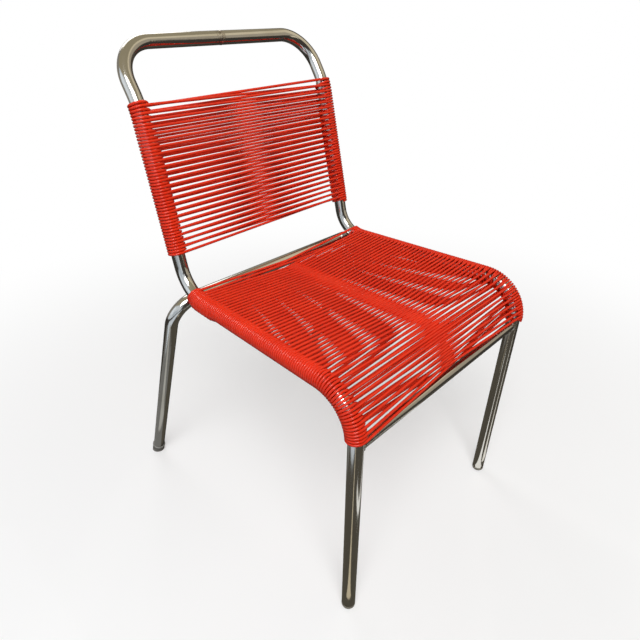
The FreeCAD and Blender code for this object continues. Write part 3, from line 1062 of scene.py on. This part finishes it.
@dataclass
class CordWinding:
    """A cord wound in a figure eight round two tubes.

    It comes to a tube on the side turned away from the sitter, goes past its outer side, makes
    whole turns that step one pitch onward past its inner side, and leaves on the sitter's side.
    """

    layout: FrameLayout
    node: str
    low: float
    high: float
    pitch: float
    cord_radius: float
    openings: tuple[Opening, ...]
    regular_from: int = 0
    tail: float = 0.0
    strand_swell: float = 1.0
    clearance: float = 0.0002
    looseness: float = 0.00006
    seed: int = 3

    STEP = math.radians(30)
    LEAD = 0.007
    RINGS = 2
    BEVEL = 2
    TAIL_ANGLE = math.radians(42)
    TAIL_SPREAD = math.radians(50)
    TAIL_SLOPE = 5
    TAIL_POINTS = 6

    def __post_init__(self) -> None:
        """Works out the radius of the turns' centre line."""
        self.turn_radius = self.layout.sizes.tube_radius + self.clearance + self.cord_radius
        self.random = random.Random(self.seed)

    def build(self, finish: bpy.types.Material) -> bpy.types.Object:
        """Builds the whole cord as one tube in place of its solid.

        Args:
            finish: The cord's material.

        Returns:
            The cord.
        """
        visits = self.visits()
        points = self._tail_points() if self.tail else []
        swells = [1.0] * len(points)
        for number, visit in enumerate(visits):
            turn = self._turn_points(visit)
            if number:
                strand = self._strand_points(points[-1], turn[0])
                points += strand
                swells += [self.strand_swell] * len(strand)
            points += turn
            swells += [1.0] * len(turn)
        mesh = nurbs_tube(points, self.cord_radius, self.RINGS, self.BEVEL, swells=swells)
        LOG.info("%s: %d visits", self.node, len(visits))
        return Piece.add(f"{self.node}_winding", mesh, finish, "cord_plastic", (self.node,))

    def visits(self) -> list[Visit]:
        """Plans the visits: the first ones as laid out, then left and right in turn.

        Returns:
            All visits in order.
        """
        start = self.low + self.cord_radius
        visits = [Visit(first.side, start + first.arrive * self.pitch, first.turns,
                        first.step * self.pitch) for first in self.openings]
        run = start + self.regular_from * self.pitch
        side = Side.LEFT
        while True:
            visit = Visit(side, run + self.random.uniform(-1, 1) * self.looseness, 1, self.pitch)
            if visit.leave + self.cord_radius > self.high:
                return visits
            visits.append(visit)
            run += self.pitch
            side = side.other

    def _cross_angle(self, run: float) -> float:
        """Angle at which strands cross from the sitter's side to the other."""
        return math.asin(self.turn_radius / abs(self.layout.sides[Side.LEFT].point(run).x))

    def _spot(self, side: Side, run: float, angle: float, radius: float) -> Vector:
        """Finds a point round a tube.

        Args:
            side: Which side tube.
            run: Length along it.
            angle: Zero is turned away from the sitter, a quarter turn is outboard.
            radius: Distance from the tube's axis.

        Returns:
            The point.
        """
        line = self.layout.sides[side]
        facing = line.sitter_side(run)
        outboard = facing.cross(line.tangent(run)) * side.value
        return line.point(run) + (outboard * math.sin(angle) - facing * math.cos(angle)) * radius

    def _swell(self, side: Side, run: float, angle: float) -> float:
        """Lifts a turn over the tail that lies under it.

        Args:
            side: Which side tube.
            run: Length along it.
            angle: Angle round it.

        Returns:
            How far the turn is lifted there.
        """
        if not self.tail or side is not Side.LEFT:
            return 0.0
        along = (run - self.low) / self.tail
        near = (angle - self.TAIL_ANGLE + math.pi) % math.tau - math.pi
        if not 0 < along < 1 or abs(near) > self.TAIL_SPREAD:
            return 0.0
        ends = min(1.0, along * self.TAIL_SLOPE, (1 - along) * self.TAIL_SLOPE)
        return 2 * self.cord_radius * ends * math.cos(near / self.TAIL_SPREAD * math.pi / 2) ** 2

    def _tail_points(self) -> list[Vector]:
        """The cord's first end, laid along the left tube under the turns."""
        runs = [self.low + self.tail * (1 - number / self.TAIL_POINTS)
                for number in range(self.TAIL_POINTS)]
        return [self._spot(Side.LEFT, run, self.TAIL_ANGLE, self.turn_radius) for run in runs]

    def _turn_points(self, visit: Visit) -> list[Vector]:
        """Lays out a visit, drawn out by what a cubic line cuts off, so that it keeps the turn's radius.

        Args:
            visit: The visit.

        Returns:
            Its control points.
        """
        start = -self._cross_angle(visit.arrive)
        whole = (2 * visit.turns + 1) * math.pi + self._cross_angle(visit.leave) - start
        count = round(whole / self.STEP)
        drawn = self.turn_radius * 3 / (2 + math.cos(whole / count))
        points = []
        for number in range(count + 1):
            angle = start + whole * number / count
            run = visit.arrive + visit.pitch * self._steps_taken(angle, visit.turns)
            radius = (drawn + self.turn_radius) / 2 if number in (0, count) else drawn
            points.append(self._spot(visit.side, run, angle, radius + self._swell(visit.side, run, angle)))
        return points

    @staticmethod
    def _steps_taken(angle: float, turns: int) -> float:
        """Counts a visit's steps: one pitch past the inner side of each turn, eased in and out.

        Args:
            angle: Angle that the cord has gone round the tube.
            turns: Whole turns of the visit.

        Returns:
            Pitches stepped on so far.
        """
        whole, rest = divmod(max(angle, 0) / math.tau, 1)
        share = min(max(2 * rest - 1, 0), 1)
        return min(whole + share ** 2 * (3 - 2 * share), turns)

    def _strand_points(self, start: Vector, end: Vector) -> list[Vector]:
        """Control points that keep a strand straight between two tubes."""
        lead = (end - start).normalized() * self.LEAD
        return [start + lead, start + lead * 2, end - lead * 2, end - lead]


@dataclass
class Panels:
    """The wound seat and the wound back."""

    layout: FrameLayout
    finish: bpy.types.Material
    seat_pitch: float = 0.00413
    seat_cord_radius: float = 0.0020
    seat_rear_angle: float = math.radians(25.0)
    seat_openings: tuple[Opening, ...] = (Opening(Side.LEFT, 0, 1), Opening(Side.RIGHT, 1, 1, -1),
                                          Opening(Side.LEFT, 2, 2), Opening(Side.RIGHT, 2, 3))
    seat_regular_from: int = 5
    seat_swell: float = 1.12
    seat_tail: float = 0.074
    back_pitch: float = 0.00478
    back_cord_radius: float = 0.0023
    back_top: float = 0.719
    back_length: float = 0.237
    back_openings: tuple[Opening, ...] = (Opening(Side.RIGHT, 0, 0),)
    back_looseness: float = 0.00010
    back_seed: int = 8

    def build(self) -> None:
        """Builds both cords."""
        line = self.layout.sides[Side.LEFT]
        rear = self.layout.rail_start(Side.LEFT) - self.layout.sizes.rear_bend * self.seat_rear_angle
        front = line.at_height(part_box("seat_cord")[0][2])
        CordWinding(self.layout, "seat_cord", rear, front, self.seat_pitch, self.seat_cord_radius,
                    self.seat_openings, self.seat_regular_from, self.seat_tail,
                    self.seat_swell).build(self.finish)
        top = line.at_height(self.back_top)
        CordWinding(self.layout, "back_cord", top, top + self.back_length, self.back_pitch,
                    self.back_cord_radius, self.back_openings, looseness=self.back_looseness,
                    seed=self.back_seed).build(self.finish)


@dataclass(frozen=True)
class Card:
    """Glowing card round the set that only reflections show, turned in its plane by degrees."""

    name: str
    centre: tuple
    facing: tuple
    size: tuple
    tone: tuple
    turn: float = 0.0


@dataclass(frozen=True)
class Lamp:
    """Square soft lamp."""

    name: str
    place: tuple
    power: float
    size: float
    tint: tuple = (1, 1, 1)


@dataclass
class Studio:
    """Pale floor, soft light and the photograph's camera."""

    camera_place: tuple = (-0.6132, -0.5898, 0.8428)
    camera_turn: float = math.radians(-46.2)
    camera_pitch: float = math.radians(30.5)
    lens: float = 30.1
    sensor: float = 36.0
    floor_size: float = 60.0
    floor_roughness: float = 0.9
    floor_tone: tuple = (0.93, 0.93, 0.93, 1)
    bounce_tone: tuple = (0.16, 0.13, 0.11, 1)
    white_near: float = 0.38
    white_from: float = 0.35
    white_at: float = 1.5
    sky: float = 0.22
    aim: tuple = (0.0, 0.0, 0.4)
    lamps: tuple[Lamp, ...] = (
        Lamp("key_lamp", (-1.5, -1.4, 2.7), 80, 1.6),
        Lamp("fill_lamp", (2.2, -1.2, 1.8), 12, 3.0, (1.0, 0.90, 0.70)),
        Lamp("rear_lamp", (0.6, 2.2, 2.4), 22, 1.8),
    )
    # Painted reflections: glowing sheets, not lamps, seen only in reflections. The dark floor cards paint
    # dark reflections under the chair, the windows paint bright ones, and the floor strips paint streaks
    # along single legs.
    cards: tuple[Card, ...] = (
        Card("ceiling_card", (0.0, 0.0, 3.0), (0, 0, -1), (6.0, 6.0), (0.42, 0.37, 0.25)),
        Card("floor_card", (0.0, 0.0, 0.0004), (0, 0, 1), (6.0, 6.0), (0.055, 0.051, 0.044)),
        Card("near_card", (-0.35, -0.45, 0.0006), (0, 0, 1), (1.8, 1.4), (0.105, 0.095, 0.075)),
        Card("rear_sheet", (-0.56, 0.27, 0.0007), (0, 0, 1), (0.66, 0.50), (0.24, 0.24, 0.23)),
        Card("left_card", (-3.0, 0.0, 1.5), (1, 0, 0), (6.0, 3.0), (0.85, 0.93, 1.00)),
        Card("right_card", (3.0, 0.0, 1.5), (-1, 0, 0), (6.0, 3.0), (0.09, 0.075, 0.06)),
        Card("rear_card", (0.0, 3.0, 1.5), (0, -1, 0), (6.0, 3.0), (0.32, 0.30, 0.26)),
        Card("key_sheet", (-1.62, -1.52, 2.60), (1.5, 1.4, -2.3), (2.6, 2.6), (0.80, 0.86, 0.92)),
        Card("front_card", (0.0, -3.0, 1.5), (0, 1, 0), (6.0, 3.0), (0.07, 0.06, 0.05)),
        Card("left_window", (-2.6, 1.2, 1.5), (1, -0.3, 0), (1.5, 1.3), (1.1, 1.2, 1.3)),
        Card("front_window", (1.3, -2.6, 1.2), (0, 1, 0), (0.5, 1.4), (0.9, 0.82, 0.62)),
        Card("corner_window", (-2.4, -2.6, 0.7), (0.68, 0.73, 0), (1.6, 1.4), (0.85, 0.94, 1.02)),
        Card("side_window", (-2.8, -1.0, 0.6), (1, 0.2, 0), (2.2, 1.2), (0.62, 0.70, 0.78)),
        Card("left_sheet", (-0.98, -0.50, 0.0008), (0, 0, 1), (0.9, 1.6), (0.80, 0.88, 0.96)),
        Card("left_leg_strip", (-0.40, -0.42, 0.0010), (0, 0, 1), (0.035, 0.44), (0.75, 0.66, 0.48), 129),
        Card("right_leg_strip", (-0.02, -0.40, 0.0010), (0, 0, 1), (0.04, 0.50), (1.20, 1.20, 1.16), 121),
        Card("right_front_strip", (0.235, -0.60, 0.0010), (0, 0, 1), (0.05, 0.60), (1.10, 1.08, 1.00), 3),
        Card("rear_leg_strip", (-0.46, 0.10, 0.0010), (0, 0, 1), (0.10, 0.46), (0.55, 0.55, 0.52), 122),
    )

    def build(self) -> None:
        """Sets the stage."""
        bpy.context.scene.view_settings.view_transform = "Standard"
        self._floor()
        self._world()
        for card in self.cards:
            self._card(card)
        for lamp in self.lamps:
            self._lamp(lamp)
        self._camera()

    @staticmethod
    def _shown(graph: Graph) -> Value:
        """One for the rays by which the background is seen, directly or in metal and glass."""
        seen = [graph.add("ShaderNodeLightPath", out=f"Is {kind} Ray")
                for kind in ("Camera", "Glossy", "Transmission")]
        return graph.add("ShaderNodeMath", {"operation": "ADD", "use_clamp": True},
                         {0: seen[0] + seen[1], 1: seen[2]})

    def _floor(self) -> None:
        """Wide pale floor that turns into the white background away from the chair."""
        material, graph = new_material("pale_floor")
        shown = self._shown(graph)
        shader = graph.add("ShaderNodeBsdfPrincipled",
                           sockets={"Base Color": graph.mix(shown, self.bounce_tone, self.floor_tone),
                                    "Roughness": self.floor_roughness})
        white = graph.add("ShaderNodeEmission", sockets={"Color": (1, 1, 1, 1), "Strength": 1.0})
        distance = graph.add("ShaderNodeVectorMath", {"operation": "LENGTH"}, {0: graph.place()},
                             out="Value")
        far = graph.add("ShaderNodeMapRange", {"interpolation_type": "SMOOTHSTEP"},
                        {"Value": distance, "From Min": self.white_from, "From Max": self.white_at,
                         "To Min": self.white_near})
        ground = graph.add("ShaderNodeMixShader", sockets={0: far * shown, 1: shader, 2: white})
        graph.add("ShaderNodeOutputMaterial", sockets={"Surface": ground})
        self._board("floor", material, Matrix.Scale(self.floor_size, 4))

    def _world(self) -> None:
        """White surroundings that light the chair at a plain level."""
        world = bpy.data.worlds.new("studio")
        bpy.context.scene.world = world
        world.use_nodes = True
        graph = Graph(world.node_tree)
        strength = self.sky + self._shown(graph) * (1 - self.sky)
        light = graph.add("ShaderNodeBackground", sockets={"Color": (1, 1, 1, 1), "Strength": strength})
        graph.add("ShaderNodeOutputWorld", sockets={"Surface": light})

    def _card(self, card: Card) -> None:
        """Adds a card for reflections.

        Args:
            card: The card.
        """
        material, graph = new_material(card.name)
        glow = graph.add("ShaderNodeEmission", sockets={"Color": (*card.tone, 1), "Strength": 1.0})
        graph.add("ShaderNodeOutputMaterial", sockets={"Surface": glow})
        turned = Matrix.Rotation(math.radians(card.turn), 4, "Z") @ Matrix.Diagonal((*card.size, 1, 1))
        board = self._board(card.name, material, stand(Vector(card.centre), Vector(card.facing)) @ turned)
        board.visible_camera = False
        board.visible_diffuse = False
        board.visible_shadow = False

    @staticmethod
    def _board(name: str, material: bpy.types.Material, place: Matrix) -> bpy.types.Object:
        """Adds a flat board to the stage.

        Args:
            name: The board's name.
            material: Its material.
            place: Matrix that sizes and places a board of one metre by one.

        Returns:
            The board.
        """
        shape = bmesh.new()
        bmesh.ops.create_grid(shape, x_segments=1, y_segments=1, size=0.5, matrix=place)
        mesh = bpy.data.meshes.new(name)
        shape.to_mesh(mesh)
        shape.free()
        mesh.materials.append(material)
        board = bpy.data.objects.new(name, mesh)
        bpy.context.scene.collection.objects.link(board)
        return board

    def _lamp(self, lamp: Lamp) -> None:
        """Adds a square soft lamp that shines at the chair.

        Args:
            lamp: The lamp.
        """
        data = bpy.data.lights.new(lamp.name, "AREA")
        data.energy = lamp.power
        data.size = lamp.size
        data.color = lamp.tint
        source = bpy.data.objects.new(lamp.name, data)
        bpy.context.scene.collection.objects.link(source)
        source.location = lamp.place
        beam = Vector(self.aim) - Vector(lamp.place)
        source.rotation_euler = beam.to_track_quat("-Z", "Y").to_euler()

    def _camera(self) -> None:
        """Puts the camera where the photograph was taken."""
        data = bpy.data.cameras.new("camera")
        data.sensor_width = self.sensor
        data.lens = self.lens
        camera = bpy.data.objects.new("camera", data)
        bpy.context.scene.collection.objects.link(camera)
        camera.location = self.camera_place
        camera.rotation_euler = (math.pi / 2 - self.camera_pitch, 0, self.camera_turn)
        bpy.context.scene.camera = camera


def main() -> None:
    """Builds the chair and its stage."""
    logging.basicConfig(level=logging.INFO, format="%(name)s: %(message)s")
    layout = FrameLayout(FrameSizes())
    chrome = ChromeFinish().material()
    weld = WeldFinish().material()
    TubeFrame(layout, chrome).build()
    Welds(layout, weld).build()
    Feet(layout, PLUG.material(), SLEEVE.material()).build()
    Panels(layout, CordFinish().material()).build()
    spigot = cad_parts["top_rail_spigot"]
    spigot.data.materials.clear()
    spigot.data.materials.append(weld)
    Studio().build()


if __name__ == "__main__":
    main()
